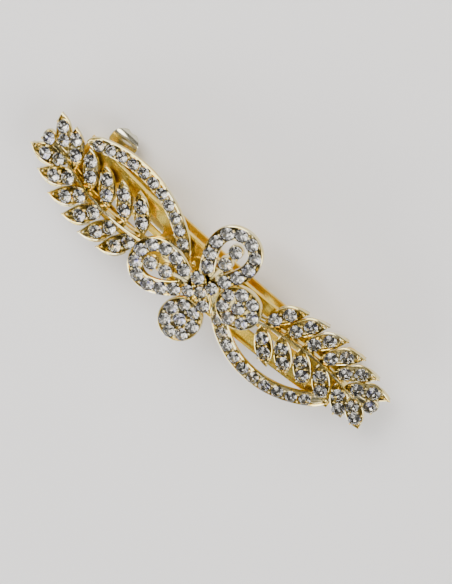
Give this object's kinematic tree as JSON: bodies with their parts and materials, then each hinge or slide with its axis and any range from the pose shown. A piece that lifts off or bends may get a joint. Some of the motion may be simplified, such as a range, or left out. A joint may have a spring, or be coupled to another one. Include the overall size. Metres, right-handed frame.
{
  "type": "hair clip",
  "caption": "Hinged barrette hair clip with an arched base bar, swing arm and squeeze catch, carrying leaf sprays and a butterfly set with round clear stones.",
  "frame": {"origin": "middle of the base bar's underside, where the hair bears on it", "axes": "+X along the clip from the catch to the hinge, +Y across it, +Z out of the ornament's face"},
  "size_m": [0.086, 0.0288, 0.0169],
  "materials": {
    "plated_strip": "pale gold plate on stamped strip, satin to bright",
    "spring_steel": "thin gold plate on spring steel",
    "gold_casting": "bright gold plate on cast alloy",
    "crystal": "faceted clear glass with a silver foil back"
  },
  "bodies": {
    "clip": {"base_bar": "plated_strip", "hinge_pin": "plated_strip", "catch_base": "spring_steel", "catch_rivet": "plated_strip", "right_branch": "gold_casting", "left_branch": "gold_casting", "butterfly_frame": "gold_casting", "right_post": "gold_casting", "left_post": "gold_casting", "butterfly_post": "gold_casting", "stone_upper_right_01": "crystal", "stone_upper_right_02": "crystal", "stone_upper_right_03": "crystal", "stone_upper_right_04": "crystal", "stone_upper_right_05": "crystal", "stone_upper_right_06": "crystal", "stone_upper_right_07": "crystal", "stone_upper_right_08": "crystal", "stone_upper_right_09": "crystal", "stone_upper_right_10": "crystal", "stone_upper_right_11": "crystal", "stone_upper_right_12": "crystal", "stone_upper_right_13": "crystal", "stone_upper_left_01": "crystal", "stone_upper_left_02": "crystal", "stone_upper_left_03": "crystal", "stone_upper_left_04": "crystal", "stone_upper_left_05": "crystal", "stone_upper_left_06": "crystal", "stone_upper_left_07": "crystal", "stone_upper_left_08": "crystal", "stone_upper_left_09": "crystal", "stone_upper_left_10": "crystal", "stone_upper_left_11": "crystal", "stone_upper_left_12": "crystal", "stone_upper_left_13": "crystal", "stone_lower_right_01": "crystal", "stone_lower_right_02": "crystal", "stone_lower_right_03": "crystal", "stone_lower_right_04": "crystal", "stone_lower_right_05": "crystal", "stone_lower_right_06": "crystal", "stone_lower_right_07": "crystal", "stone_lower_right_08": "crystal", "stone_lower_left_01": "crystal", "stone_lower_left_02": "crystal", "stone_lower_left_03": "crystal", "stone_lower_left_04": "crystal", "stone_lower_left_05": "crystal", "stone_lower_left_06": "crystal", "stone_lower_left_07": "crystal", "stone_lower_left_08": "crystal", "stone_body_01": "crystal", "stone_body_02": "crystal", "stone_body_03": "crystal"},
    "swing_arm": {"swing_arm": "plated_strip"},
    "tension_spring": {"tension_spring": "spring_steel"},
    "catch_ear_right": {"catch_ear_right": "spring_steel"},
    "catch_ear_left": {"catch_ear_left": "spring_steel"}
  },
  "joints": [
    {"name": "arm_hinge", "type": "hinge", "parent": "clip", "child": "swing_arm", "pos_m": [0.032, 0, -0.0083], "axis": [0, -1, 0], "range_deg": [0, 75]},
    {"name": "spring_flex", "type": "hinge", "parent": "swing_arm", "child": "tension_spring", "pos_m": [0.032, 0, -0.0083], "axis": [0, -1, 0], "range_deg": [0, 1.5], "stiffness_Nm_per_rad": 0.05},
    {"name": "ear_right_squeeze", "type": "hinge", "parent": "clip", "child": "catch_ear_right", "pos_m": [-0.0296, 0.00172, -0.0042], "axis": [-1, 0, 0], "range_deg": [0, 6], "stiffness_Nm_per_rad": 0.02},
    {"name": "ear_left_squeeze", "type": "hinge", "parent": "clip", "child": "catch_ear_left", "pos_m": [-0.0296, -0.00172, -0.0042], "axis": [1, 0, 0], "range_deg": [0, 6], "stiffness_Nm_per_rad": 0.02}
  ]
}
